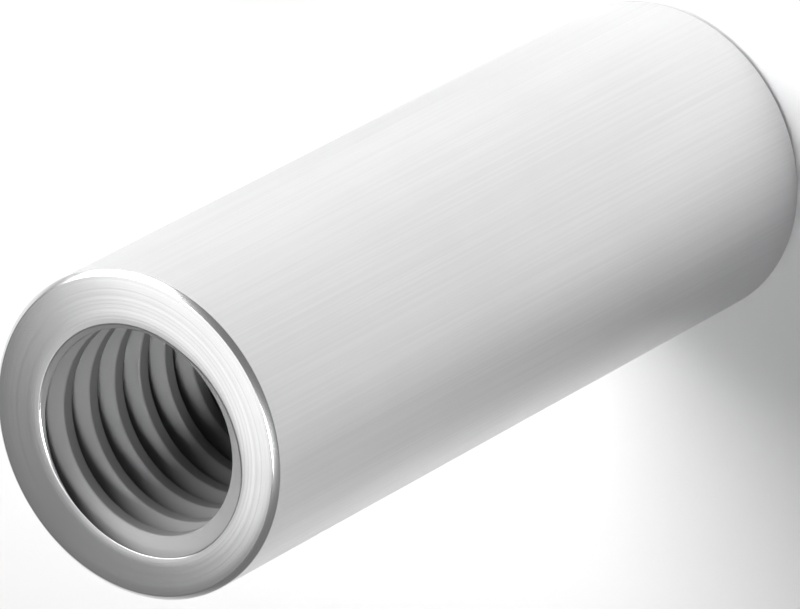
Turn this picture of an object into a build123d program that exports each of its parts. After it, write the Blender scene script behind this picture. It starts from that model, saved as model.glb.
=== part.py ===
import os
from math import ceil, radians, tan

from build123d import *
from build123d.topology import SkipClean

# A round coupling nut: a short turned sleeve, threaded right through, that joins two
# threaded rods end to end. It stands on its bottom end, with its axis along +Z and its
# origin at the middle of that end. Sizes are in millimetres and angles in degrees.

# Thread: right-hand, a V with a flat at its root and another at its crest. Its diameter
# is taken over the roots
thread_diameter = 4.826
thread_pitch = 0.79375
thread_depth = 0.383
thread_angle = 60
root_flat = thread_pitch / 8
thread_start = 205

# The bore that the thread is cut in, which leaves the crests flat
bore_diameter = thread_diameter - 2 * thread_depth

# Mouths: both ends of the bore have a light countersink, narrower than the thread's root
mouth_width = 0.12
mouth_angle = 90
mouth_diameter = bore_diameter + 2 * mouth_width

# Body: plain round bar with its wall outside the thread, cut square at both ends and
# with its outer edges just broken
wall = 0.762
body_length = 17.4625
edge_break = 0.1
body_diameter = thread_diameter + 2 * wall

# The cutter reaches this far into the open bore, so that it leaves no skin
overcut = 0.1
arcs_per_turn = 4
turns_beyond_end = 1

flank_slope = tan(radians(thread_angle / 2))
thread_radius = thread_diameter / 2
bore_radius = bore_diameter / 2
body_radius = body_diameter / 2
mouth_radius = mouth_diameter / 2
mouth_depth = (mouth_radius - bore_radius) / tan(radians(mouth_angle / 2))

# Half of the sleeve's lengthwise section, from the bore out to the body
with BuildSketch(Plane.XZ) as section:
    with BuildLine():
        Polyline(
            (bore_radius, mouth_depth),
            (mouth_radius, 0),
            (body_radius - edge_break, 0),
            (body_radius, edge_break),
            (body_radius, body_length - edge_break),
            (body_radius - edge_break, body_length),
            (mouth_radius, body_length),
            (bore_radius, body_length - mouth_depth),
            close=True,
        )
    make_face()

# Turned as two half sleeves that stay two faces all round, so no wall closes on itself
with BuildPart() as sleeve, SkipClean():
    for side in (1, -1):
        revolve(section.sketch, axis=Axis.Z, revolution_arc=side * 180, clean=False)

# The thread's lead: one short arc of helix, repeated round and up from below the nut
arc_turn = 360 / arcs_per_turn
arc_rise = thread_pitch / arcs_per_turn
turns = ceil(body_length / thread_pitch) + 2 * turns_beyond_end
with BuildLine() as arc:
    Helix(pitch=thread_pitch, height=arc_rise, radius=bore_radius)
lead = Wire(
    [
        arc.line.edge().moved(Location((0, 0, n * arc_rise), (0, 0, n * arc_turn)))
        for n in range(turns * arcs_per_turn)
    ]
)

# The groove between the threads, a blunt V swept along the lead
with BuildPart() as groove:
    base_radius = bore_radius - overcut
    half_root = root_flat / 2
    half_base = half_root + (thread_radius - base_radius) * flank_slope
    with BuildSketch(Plane.XZ):
        with BuildLine():
            Polyline(
                (base_radius, -half_base),
                (thread_radius, -half_root),
                (thread_radius, half_root),
                (base_radius, half_base),
                close=True,
            )
        make_face()
    sweep(path=lead, is_frenet=True)

# The nut: the sleeve with the thread cut through it. Both are turned to the thread's
# start, so that the half sleeves meet where two of the thread's arcs do
turned = (0, 0, thread_start)
with BuildPart() as nut, SkipClean():
    with Locations(Location((0, 0, 0), turned)):
        add(sleeve.part, clean=False)
    with Locations(Location((0, 0, -turns_beyond_end * thread_pitch), turned)):
        add(groove.part, mode=Mode.SUBTRACT, clean=False)

nut.part.label = "coupling_nut"
os.makedirs("parts", exist_ok=True)
export_step(nut.part, "parts/coupling_nut.step")
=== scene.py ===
"""A round coupling nut of bright steel, standing on its end on a pale floor.

The nut is one turned piece: a plain sleeve with a thread right through it and a
countersink at each end. Its skin is worked out here as one closed surface, finer than
the frame's, and takes the frame's place. Everything is in metres, in the frame's axes:
+Z runs up the bore, and the origin is the middle of the end that the nut stands on.
"""

import logging
import math
from dataclasses import dataclass, field
from enum import Enum, IntEnum

import bmesh
import bpy
import numpy as np
from mathutils import Matrix, Vector


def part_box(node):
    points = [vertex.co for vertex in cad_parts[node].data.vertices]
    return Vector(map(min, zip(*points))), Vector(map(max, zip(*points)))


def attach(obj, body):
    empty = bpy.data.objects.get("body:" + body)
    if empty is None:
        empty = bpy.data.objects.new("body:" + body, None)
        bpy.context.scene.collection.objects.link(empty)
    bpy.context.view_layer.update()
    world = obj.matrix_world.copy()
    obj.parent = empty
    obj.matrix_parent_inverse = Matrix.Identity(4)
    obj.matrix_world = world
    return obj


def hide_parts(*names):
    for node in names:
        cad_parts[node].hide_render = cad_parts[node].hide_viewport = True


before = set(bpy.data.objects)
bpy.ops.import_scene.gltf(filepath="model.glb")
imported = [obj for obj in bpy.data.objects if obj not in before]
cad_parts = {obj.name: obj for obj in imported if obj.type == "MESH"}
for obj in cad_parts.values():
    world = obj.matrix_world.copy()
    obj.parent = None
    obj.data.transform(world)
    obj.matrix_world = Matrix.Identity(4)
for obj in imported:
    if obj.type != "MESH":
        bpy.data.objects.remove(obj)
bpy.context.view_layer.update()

log = logging.getLogger("coupling_nut")

MM = 0.001
NODE = "coupling_nut"
BODY = "root"
WELD_DISTANCE = 1e-4 * MM


class Zone(IntEnum):
    """Parts of the nut's skin, numbered as the mesh's material slots are."""

    BORE = 0
    END = 1
    BARREL = 2


class NodeKind(str, Enum):
    """The shader nodes that the finishes use."""

    COORDINATES = "ShaderNodeTexCoord"
    SEPARATE = "ShaderNodeSeparateXYZ"
    COMBINE = "ShaderNodeCombineXYZ"
    MATH = "ShaderNodeMath"
    MIX = "ShaderNodeMix"
    NOISE = "ShaderNodeTexNoise"
    RANGE = "ShaderNodeMapRange"
    BUMP = "ShaderNodeBump"
    SURFACE = "ShaderNodeBsdfPrincipled"
    OUTPUT = "ShaderNodeOutputMaterial"
    BACKGROUND = "ShaderNodeBackground"
    WORLD_OUTPUT = "ShaderNodeOutputWorld"


class Wire:
    """An output socket that can be used in arithmetic; each sum adds its own node."""

    def __init__(self, graph: "Graph", socket: bpy.types.NodeSocket) -> None:
        """Holds the socket and the graph that it belongs to."""
        self.graph = graph
        self.socket = socket

    def _math(self, operation: str, *values: "Wire | float") -> "Wire":
        """Adds one Math node.

        Args:
            operation: the node's operation, such as "ADD".
            values: its inputs, in order.

        Returns:
            The node's result.
        """
        return self.graph.add(NodeKind.MATH, {"operation": operation}, *values)

    def __add__(self, other: "Wire | float") -> "Wire":
        """Sum."""
        return self._math("ADD", self, other)

    def __radd__(self, other: float) -> "Wire":
        """Sum, with the number first."""
        return self._math("ADD", other, self)

    def __sub__(self, other: "Wire | float") -> "Wire":
        """Difference."""
        return self._math("SUBTRACT", self, other)

    def __rsub__(self, other: float) -> "Wire":
        """Difference, with the number first."""
        return self._math("SUBTRACT", other, self)

    def __mul__(self, other: "Wire | float") -> "Wire":
        """Product."""
        return self._math("MULTIPLY", self, other)

    def __rmul__(self, other: float) -> "Wire":
        """Product, with the number first."""
        return self._math("MULTIPLY", other, self)

    def __pow__(self, other: float) -> "Wire":
        """Power."""
        return self._math("POWER", self, other)


class Graph:
    """A node tree that is written as a list of expressions."""

    def __init__(self, tree: bpy.types.NodeTree) -> None:
        """Starts from the tree with all its nodes removed."""
        self.tree = tree
        tree.nodes.clear()

    def add(
        self,
        kind: NodeKind,
        settings: dict[str, object] | None = None,
        *values: "Wire | float",
        out: int | str = 0,
        **named: "Wire | float | tuple",
    ) -> Wire:
        """Adds one node of any type.

        Args:
            kind: the node's type.
            settings: its own properties, set before its sockets.
            values: numbers or wires for its first sockets, in order.
            out: the output that is returned.
            named: the same for sockets by name, with _ for a space.

        Returns:
            The chosen output.
        """
        node = self.tree.nodes.new(kind.value)
        for name, value in (settings or {}).items():
            setattr(node, name, value)
        slots = [s for s in node.inputs if s.enabled]
        filled = list(zip(slots, values))
        filled += [(self._socket(node, name), value) for name, value in named.items()]
        for socket, value in filled:
            if isinstance(value, Wire):
                self.tree.links.new(value.socket, socket)
            else:
                socket.default_value = value
        return Wire(self, node.outputs[out]) if node.outputs else None

    @staticmethod
    def _socket(node: bpy.types.Node, name: str) -> bpy.types.NodeSocket:
        """The enabled input of that name, with _ for a space."""
        label = name.replace("_", " ")
        return next(s for s in node.inputs if s.enabled and s.name == label)

    def place(self) -> tuple[Wire, Wire, Wire, Wire]:
        """The point on the nut.

        Returns:
            x, y, z and the distance from the nut's axis, in metres.
        """
        point = self.add(NodeKind.COORDINATES, out="Object")
        x = self.add(NodeKind.SEPARATE, None, point, out="X")
        y = self.add(NodeKind.SEPARATE, None, point, out="Y")
        z = self.add(NodeKind.SEPARATE, None, point, out="Z")
        return x, y, z, (x * x + y * y) ** 0.5

    def fade(self, value: Wire, start: float, end: float) -> Wire:
        """0 up to start and 1 from end on, with a smooth rise between them."""
        settings = {"interpolation_type": "SMOOTHSTEP"}
        return self.add(NodeKind.RANGE, settings, value, start, end, 0.0, 1.0)

    def tint(self, share: Wire, low: tuple, high: tuple) -> Wire:
        """A colour between low, where share is 0, and high, where it is 1."""
        node = {"data_type": "RGBA", "clamp_factor": True}
        return self.add(NodeKind.MIX, node, share, (*low, 1.0), (*high, 1.0), out=2)

    def noise(self, scale: float, detail: float, *, vector: Wire | None = None,
              line: Wire | None = None) -> Wire:
        """Noise about 0.5, in space at vector, or along one line.

        Args:
            scale: features in a metre of the input.
            detail: octaves.
            vector: a point, for noise in space.
            line: a length, for noise that varies along it alone.

        Returns:
            The noise.
        """
        if line is not None:
            settings = {"noise_dimensions": "1D"}
            return self.add(NodeKind.NOISE, settings, W=line, Scale=scale, Detail=detail)
        return self.add(NodeKind.NOISE, None, Vector=vector, Scale=scale, Detail=detail)


def new_material(name: str) -> tuple[bpy.types.Material, Graph]:
    """A new material and its empty graph."""
    material = bpy.data.materials.new(name)
    material.use_nodes = True
    return material, Graph(material.node_tree)


@dataclass(frozen=True)
class DrawnSteel:
    """The outside of the bar: drawn through a die, so its fine lines run lengthwise."""

    name: str = "drawn_steel"
    dull: tuple = (0.735, 0.735, 0.74)
    bright: tuple = (0.775, 0.775, 0.78)
    roughness: float = 0.34
    roughness_spread: float = 0.03
    lines_per_metre: float = 22000.0
    line_stretch: float = 0.008
    line_detail: float = 3.0
    line_depth: float = 0.00013 * MM
    line_share: float = 0.6
    cloud_per_metre: float = 250.0
    cloud_detail: float = 4.0
    shine_range: tuple = (0.35, 0.65)

    def material(self) -> bpy.types.Material:
        """Long thin noise gives the die's lines, and broad noise the handling marks."""
        material, graph = new_material(self.name)
        x, y, z, _ = graph.place()
        stretched = graph.add(NodeKind.COMBINE, None, x, y, z * self.line_stretch)
        lines = graph.noise(self.lines_per_metre, self.line_detail, vector=stretched)
        whole = graph.add(NodeKind.COMBINE, None, x, y, z)
        cloud = graph.noise(self.cloud_per_metre, self.cloud_detail, vector=whole)
        mixed = lines * self.line_share + cloud * (1 - self.line_share)
        shine = graph.fade(mixed, *self.shine_range)
        bump = graph.add(
            NodeKind.BUMP, None, Strength=1.0, Distance=self.line_depth, Height=lines
        )
        surface = graph.add(
            NodeKind.SURFACE,
            None,
            Base_Color=graph.tint(shine, self.dull, self.bright),
            Metallic=1.0,
            Roughness=self.roughness + self.roughness_spread * (1 - shine),
            Normal=bump,
        )
        graph.add(NodeKind.OUTPUT, None, Surface=surface)
        return material


@dataclass(frozen=True)
class FacedSteel:
    """The end faces: faced in a lathe, so their fine marks are rings about the bore."""

    name: str = "faced_steel"
    dull: tuple = (0.72, 0.72, 0.725)
    bright: tuple = (0.79, 0.79, 0.795)
    roughness: float = 0.21
    roughness_spread: float = 0.05
    rings_per_metre: float = 16000.0
    ring_detail: float = 2.0
    ring_depth: float = 0.0003 * MM
    ring_share: float = 0.5
    cloud_per_metre: float = 350.0
    cloud_detail: float = 4.0
    shine_range: tuple = (0.35, 0.65)

    def material(self) -> bpy.types.Material:
        """Noise along the radius gives the tool's rings, and broad noise the marks."""
        material, graph = new_material(self.name)
        x, y, z, radius = graph.place()
        rings = graph.noise(self.rings_per_metre, self.ring_detail, line=radius)
        whole = graph.add(NodeKind.COMBINE, None, x, y, z)
        cloud = graph.noise(self.cloud_per_metre, self.cloud_detail, vector=whole)
        mixed = rings * self.ring_share + cloud * (1 - self.ring_share)
        shine = graph.fade(mixed, *self.shine_range)
        bump = graph.add(
            NodeKind.BUMP, None, Strength=1.0, Distance=self.ring_depth, Height=rings
        )
        surface = graph.add(
            NodeKind.SURFACE,
            None,
            Base_Color=graph.tint(shine, self.dull, self.bright),
            Metallic=1.0,
            Roughness=self.roughness + self.roughness_spread * (1 - shine),
            Normal=bump,
        )
        graph.add(NodeKind.OUTPUT, None, Surface=surface)
        return material


@dataclass(frozen=True)
class TappedSteel:
    """The bore: cut by a tap; its colour is painted shade, darker than the outside's steel, and
    nearly black along the root of the thread.
    """

    pitch: float
    start: float
    name: str = "tapped_steel"
    # Painted shade: the bore's steel colour is far darker than the outside's, and nearly black
    # along the root of the thread.
    bore_shade_colour: tuple = (0.235, 0.235, 0.237)
    root_shade_colour: tuple = (0.004, 0.004, 0.004)
    metallic: float = 0.4
    gloss: float = 0.2
    bore_roughness: float = 0.7
    root_roughness: float = 0.85
    # Painted shade along the root: full up to the first share of a pitch from the root, gone by
    # the second.
    root_shade_full: float = 0.05
    root_shade_clear: float = 0.09
    marks_per_metre: float = 12000.0
    mark_detail: float = 2.0
    mark_slant: float = 0.5
    mark_depth: float = 0.0015 * MM

    def material(self) -> bpy.types.Material:
        """Painted shade along the root of the thread, with fine tool marks along the flanks.

        A point's distance from the root, in pitches, is how far its height / pitch
        less its turn about the axis is from a whole number.
        """
        material, graph = new_material(self.name)
        x, y, z, radius = graph.place()
        turn = graph.add(NodeKind.MATH, {"operation": "ARCTAN2"}, y, x) * (1 / math.tau)
        phase = z * (1 / self.pitch) - turn + self.start / math.tau
        away = graph.add(NodeKind.MATH, {"operation": "PINGPONG"}, phase, 0.5)
        # Mask of painted shade: 1 at the thread's root, falling to 0 up the flanks.
        root_shade = 1 - graph.fade(away, self.root_shade_full, self.root_shade_clear)
        across = radius + z * self.mark_slant
        marks = graph.noise(self.marks_per_metre, self.mark_detail, line=across)
        bump = graph.add(
            NodeKind.BUMP, None, Strength=1.0, Distance=self.mark_depth, Height=marks
        )
        spread = self.root_roughness - self.bore_roughness
        surface = graph.add(
            NodeKind.SURFACE,
            None,
            # Base colour: painted shade of the bore, darkest along the thread root.
            Base_Color=graph.tint(root_shade, self.bore_shade_colour, self.root_shade_colour),
            Metallic=self.metallic,
            Specular_IOR_Level=self.gloss,
            Roughness=self.bore_roughness + spread * root_shade,
            Normal=bump,
        )
        graph.add(NodeKind.OUTPUT, None, Surface=surface)
        return material


def soft_max(first: np.ndarray, second: np.ndarray, easing: float) -> np.ndarray:
    """The larger of two lengths, eased where they cross.

    It is their mean plus half of the root of (their difference squared plus easing
    squared), which stands half an easing above the larger one at the crossing.
    """
    return (first + second + np.sqrt((first - second) ** 2 + easing**2)) / 2


@dataclass
class Thread:
    """The right-hand V thread in the bore, flat at its roots and its crests."""

    diameter: float = 4.826 * MM
    pitch: float = 0.79375 * MM
    bore_diameter: float = 4.06 * MM
    angle: float = math.radians(60)
    start: float = math.radians(205)
    easing: float = 0.012 * MM
    edge_lines: tuple = (-2.0, -0.7, 0.7, 2.0)

    @property
    def slope(self) -> float:
        """How far along the axis a flank goes for each unit of radius."""
        return math.tan(self.angle / 2)

    @property
    def root_half(self) -> float:
        """Half of the flat along the root, which is an eighth of the pitch wide."""
        return self.pitch / 16

    @property
    def crest_edge(self) -> float:
        """How far along the axis from the middle of the root a flank meets the crest."""
        return self.root_half + (self.diameter - self.bore_diameter) / 2 * self.slope

    def radius(self, turn: np.ndarray, height: np.ndarray) -> np.ndarray:
        """The radius of the threaded wall.

        The middle of the root is where height / pitch less the angle from the start,
        in turns, is a whole number. From half of the root's flat on, the wall comes in
        along the flank by the distance along the axis over the slope, until it meets
        the crest.

        Args:
            turn: angle about the axis, in turns.
            height: height above the foot.

        Returns:
            The distance from the axis at each point.
        """
        phase = height / self.pitch - turn + self.start / math.tau
        away = np.abs(phase - np.round(phase)) * self.pitch - self.root_half
        down = soft_max(away, np.zeros_like(away), self.easing) / self.slope
        depth = (self.diameter - self.bore_diameter) / 2
        return self.bore_diameter / 2 + soft_max(depth - down, 0 * down, self.easing)

    def phases(self) -> np.ndarray:
        """Where the mesh has a line along the thread, as shares of one pitch.

        A few lie close about each edge of the root and of the crest, and the rest are
        spread over the flanks and the crest.
        """
        root, crest = self.root_half / self.pitch, self.crest_edge / self.pitch
        close = np.array(self.edge_lines) * self.easing / self.pitch
        edges = [edge + close for edge in (root, crest, 1 - crest, 1 - root)]
        middles = [(root + crest) / 2, 0.5, 1 - (root + crest) / 2]
        return np.sort(np.concatenate(edges + [middles]))


@dataclass
class CouplingNut:
    """The whole nut: a sleeve with broken outer edges, countersunk and threaded."""

    outer_radius: float
    length: float
    thread: Thread = field(default_factory=Thread)
    edge_break: float = 0.1 * MM
    mouth_radius: float = 2.15 * MM
    mouth_angle: float = math.radians(90)
    easing: float = 0.02 * MM
    columns: int = 180
    mouth_rows: int = 26
    run_rows: tuple = (4, 1, 24, 1, 4)
    barrel_run: int = 3
    corner_rows: int = 4

    @property
    def mouth_depth(self) -> float:
        """How far down the countersink reaches the bore."""
        rise = self.mouth_radius - self.thread.bore_diameter / 2
        return rise / math.tan(self.mouth_angle / 2)

    @property
    def turn(self) -> np.ndarray:
        """The angle of each column of the mesh, in turns; the last closes on the first."""
        return np.linspace(0, 1, self.columns + 1)

    def bore_radius(self, height: np.ndarray) -> np.ndarray:
        """The radius of the open bore: the larger of the thread's and the cones'.

        A cone's radius falls from the rim's by the depth below that end times the
        tangent of half of the countersink's angle.

        Args:
            height: heights above the foot, with one column for each angle.

        Returns:
            The radius at each of them.
        """
        depth = np.minimum(height, self.length - height)
        cone = self.mouth_radius - depth * math.tan(self.mouth_angle / 2)
        return soft_max(self.thread.radius(self.turn, height), cone, self.thread.easing)

    def bore(self) -> np.ndarray:
        """The wall of the bore, from just inside the foot's rim up to the top's.

        Deep in the bore the mesh's lines follow the thread: their height is the pitch
        times (whole turns + phase + the turn about the axis), held between the two
        mouths. In each mouth they are level and close together, because the thread
        runs out there across the cone.

        Returns:
            Radius and height, as lines by columns by 2.
        """
        below = self.mouth_depth + 2 * self.thread.easing
        whole = np.arange(-1, math.ceil(self.length / self.thread.pitch) + 1)
        lines = (whole[:, None] + self.thread.phases()).reshape(-1, 1)
        climb = (lines + self.turn - self.thread.start / math.tau) * self.thread.pitch
        climb = np.clip(climb, below, self.length - below)
        level = np.linspace(self.easing, below, self.mouth_rows)[:, None] + 0 * self.turn
        height = np.concatenate([level, climb, self.length - level[::-1]])
        return np.stack([self.bore_radius(height), height], axis=-1)

    def outside(self) -> tuple[np.ndarray, np.ndarray]:
        """The skin outside the bore, from the top's rim over and down to the foot's.

        It follows the corners of the lengthwise section, straight from one to the
        next, and each corner is eased by a parabola: the point at t is (1 - t)
        squared times a point before the corner, 2 t (1 - t) times the corner and t
        squared times a point after it. The thread runs out through the end faces, so
        the corner at a rim is where the bore's own radius at that height says.

        Returns:
            Radius and height, as lines by columns by 2, and the zone of the band that
            ends at each line. The bore has the two lines where they join.
        """
        edge, cut, top = self.outer_radius, self.edge_break, self.length
        heights = np.array([top - self.easing, top, 0.0, self.easing])[:, None] + 0 * self.turn
        rims = np.stack([self.bore_radius(heights), heights], axis=-1)
        edges = [(edge - cut, top), (edge, top - cut), (edge, cut), (edge - cut, 0.0)]
        edges = np.array(edges)[:, None] + 0 * rims[:1]
        corners = np.concatenate([rims[:2], edges, rims[2:]])
        ways = np.diff(corners, axis=0)
        ways *= self.easing / np.linalg.norm(ways, axis=-1, keepdims=True)
        middle = corners[1:-1]
        before, after = middle - ways[:-1], middle + ways[1:]
        before[0], after[-1] = corners[0], corners[-1]
        t = np.linspace(0, 1, self.corner_rows + 1)[1:, None, None]
        lines, zones = [], []
        for n, corner in enumerate(middle):
            if n:
                steps = np.linspace(0, 1, self.run_rows[n - 1] + 1)[1:, None, None]
                lines.append(after[n - 1] + (before[n] - after[n - 1]) * steps)
                zones += [Zone.BARREL if n == self.barrel_run else Zone.END] * len(steps)
            lines.append((1 - t) ** 2 * before[n] + 2 * t * (1 - t) * corner + t**2 * after[n])
            zones += [Zone.END] * len(t)
        return np.concatenate(lines)[:-1], np.array(zones)

    def skin(self) -> tuple[np.ndarray, np.ndarray]:
        """The whole closed skin as one grid.

        Each line goes once round the axis, and the lines go up the bore, over the top,
        down the barrel and back under the foot to the line that they started from. A
        point is radius times the cosine and the sine of its angle, and its height.

        Returns:
            Points, as lines by columns by 3, and the zone of each band between lines.
        """
        bore = self.bore()
        outside, zones = self.outside()
        radius, height = np.moveaxis(np.concatenate([bore, outside, bore[:1]]), -1, 0)
        angle = math.tau * self.turn
        points = np.stack([radius * np.cos(angle), radius * np.sin(angle), height], axis=-1)
        return points, np.concatenate([np.full(len(bore) - 1, Zone.BORE), zones])

    def build(self, finishes: dict[Zone, bpy.types.Material]) -> bpy.types.Object:
        """Makes the nut's mesh, closes its seams and dresses it.

        Args:
            finishes: the material of each zone.

        Returns:
            The finished object.
        """
        points, bands = self.skin()
        rows, columns = points.shape[:2]
        number = np.arange(rows * columns).reshape(rows, columns)
        corners = [number[:-1, :-1], number[:-1, 1:], number[1:, 1:], number[1:, :-1]]
        quads = np.stack(corners, axis=-1).reshape(-1, 4)
        mesh = bpy.data.meshes.new("nut_skin")
        mesh.from_pydata(points.reshape(-1, 3), [], quads)
        for zone in Zone:
            mesh.materials.append(finishes[zone])
        mesh.polygons.foreach_set("material_index", np.repeat(bands, columns - 1).astype(np.int32))
        mesh.polygons.foreach_set("use_smooth", np.ones(len(quads), dtype=bool))
        work = bmesh.new()
        work.from_mesh(mesh)
        bmesh.ops.remove_doubles(work, verts=work.verts, dist=WELD_DISTANCE)
        bmesh.ops.recalc_face_normals(work, faces=work.faces)
        work.to_mesh(mesh)
        work.free()
        nut = bpy.data.objects.new("threaded_sleeve", mesh)
        bpy.context.scene.collection.objects.link(nut)
        weigh = nut.modifiers.new("flat_faces_rule", "WEIGHTED_NORMAL")
        weigh.mode = "FACE_AREA"
        weigh.keep_sharp = True
        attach(nut, BODY)
        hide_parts(NODE)
        return nut


NUT_MIDDLE = (0.0, 0.0, 8.7 * MM)
NUT_TOP = (0.0, 0.0, 17.5 * MM)


@dataclass(frozen=True)
class Panel:
    """A soft square light, placed by direction from a point and turned to it.

    Its azimuth, elevation and spread are in degrees; the spread is how wide its beam
    opens.
    """

    name: str
    azimuth: float
    elevation: float
    distance: float
    width: float
    radiance: float
    aim: tuple = NUT_MIDDLE
    slide: tuple = (0.0, 0.0)
    spread: float = 180.0

    def build(self) -> None:
        """Adds the light; its power is its radiance times pi times its area.

        It stands at its distance from the aim, and then slides level and upward in
        its own plane.
        """
        data = bpy.data.lights.new(self.name, "AREA")
        data.shape = "SQUARE"
        data.size = self.width
        data.energy = self.radiance * math.pi * self.width**2
        data.spread = math.radians(self.spread)
        light = bpy.data.objects.new(self.name, data)
        a, e = math.radians(self.azimuth), math.radians(self.elevation)
        away = Vector((math.cos(a) * math.cos(e), math.sin(a) * math.cos(e), math.sin(e)))
        level = Vector((-math.sin(a), math.cos(a), 0.0))
        place = Vector(self.aim) + away * self.distance
        place += level * self.slide[0] + away.cross(level) * self.slide[1]
        turned = Matrix((level, away.cross(level), away)).transposed().to_4x4()
        light.matrix_world = Matrix.Translation(place) @ turned
        light.visible_camera = False
        bpy.context.scene.collection.objects.link(light)


@dataclass
class Studio:
    """The pale floor, the soft light and the camera."""

    nut_length: float
    floor_radius: float = 1.2
    floor_sides: int = 96
    floor_roughness: float = 0.9
    floor_colour: tuple = (0.86, 0.86, 0.86, 1.0)
    world_colour: tuple = (1.0, 1.0, 1.0, 1.0)
    world_strength: float = 0.19
    view_elevation: float = math.radians(49.96)
    view_roll: float = math.radians(-117.99)
    view_distance: float = 211.7 * MM
    view_pan: tuple = (-0.1299 * MM, -0.2337 * MM)
    lens: float = 507.0
    clip: tuple = (0.01, 10.0)
    panels: tuple = (
        Panel("key_panel", 10.0, 37.0, 200 * MM, 185 * MM, 6.2),
        Panel("end_panel", 90.0, 50.0, 14 * MM, 20 * MM, 1.15, NUT_TOP, (-7 * MM, 9.9 * MM)),
        Panel("mouth_panel", 220.0, 57.0, 60 * MM, 18 * MM, 0.9, NUT_TOP, spread=20.0),
    )

    def floor(self) -> None:
        """A wide round floor at the nut's foot."""
        work = bmesh.new()
        bmesh.ops.create_circle(
            work, cap_ends=True, segments=self.floor_sides, radius=self.floor_radius
        )
        mesh = bpy.data.meshes.new("floor")
        work.to_mesh(mesh)
        work.free()
        material, graph = new_material("pale_floor")
        surface = graph.add(
            NodeKind.SURFACE,
            None,
            Base_Color=self.floor_colour,
            Roughness=self.floor_roughness,
        )
        graph.add(NodeKind.OUTPUT, None, Surface=surface)
        mesh.materials.append(material)
        floor = bpy.data.objects.new("floor", mesh)
        bpy.context.scene.collection.objects.link(floor)

    def light(self) -> None:
        """An even pale surround and the soft panels."""
        world = bpy.data.worlds.new("surround")
        world.use_nodes = True
        graph = Graph(world.node_tree)
        glow = graph.add(
            NodeKind.BACKGROUND, None, Color=self.world_colour, Strength=self.world_strength
        )
        graph.add(NodeKind.WORLD_OUTPUT, None, Surface=glow)
        bpy.context.scene.world = world
        for panel in self.panels:
            panel.build()

    def camera(self) -> None:
        """A long lens that looks down at the nut and is rolled about its own axis.

        Its axes are right and up turned by the roll, and it stands at its distance
        back from the nut's middle, moved by the pan along those axes.
        """
        tilt, roll = self.view_elevation, self.view_roll
        back = Vector((0, -math.cos(tilt), math.sin(tilt)))
        right = Vector((1, 0, 0))
        up = Vector((0, math.sin(tilt), math.cos(tilt)))
        across = math.cos(roll) * right + math.sin(roll) * up
        upward = -math.sin(roll) * right + math.cos(roll) * up
        middle = Vector((0, 0, self.nut_length / 2))
        target = middle + self.view_pan[0] * across + self.view_pan[1] * upward
        data = bpy.data.cameras.new("camera")
        data.lens = self.lens
        data.clip_start, data.clip_end = self.clip
        camera = bpy.data.objects.new("camera", data)
        turned = Matrix((across, upward, back)).transposed().to_4x4()
        camera.matrix_world = Matrix.Translation(target + back * self.view_distance) @ turned
        bpy.context.scene.collection.objects.link(camera)
        bpy.context.scene.camera = camera


def main() -> None:
    """Builds the nut and the studio around it."""
    logging.basicConfig(level=logging.INFO, format="%(name)s: %(message)s")
    _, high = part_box(NODE)
    bpy.context.scene.view_settings.view_transform = "Standard"
    nut = CouplingNut(outer_radius=high.x, length=high.z)
    finishes = {
        Zone.BORE: TappedSteel(nut.thread.pitch, nut.thread.start).material(),
        Zone.END: FacedSteel().material(),
        Zone.BARREL: DrawnSteel().material(),
    }
    piece = nut.build(finishes)
    log.info("%s: %d faces in place of %s", piece.name, len(piece.data.polygons), NODE)
    studio = Studio(nut_length=high.z)
    studio.floor()
    studio.light()
    studio.camera()
    log.info("studio: floor, %d panels and camera", len(studio.panels))


if __name__ == "__main__":
    main()
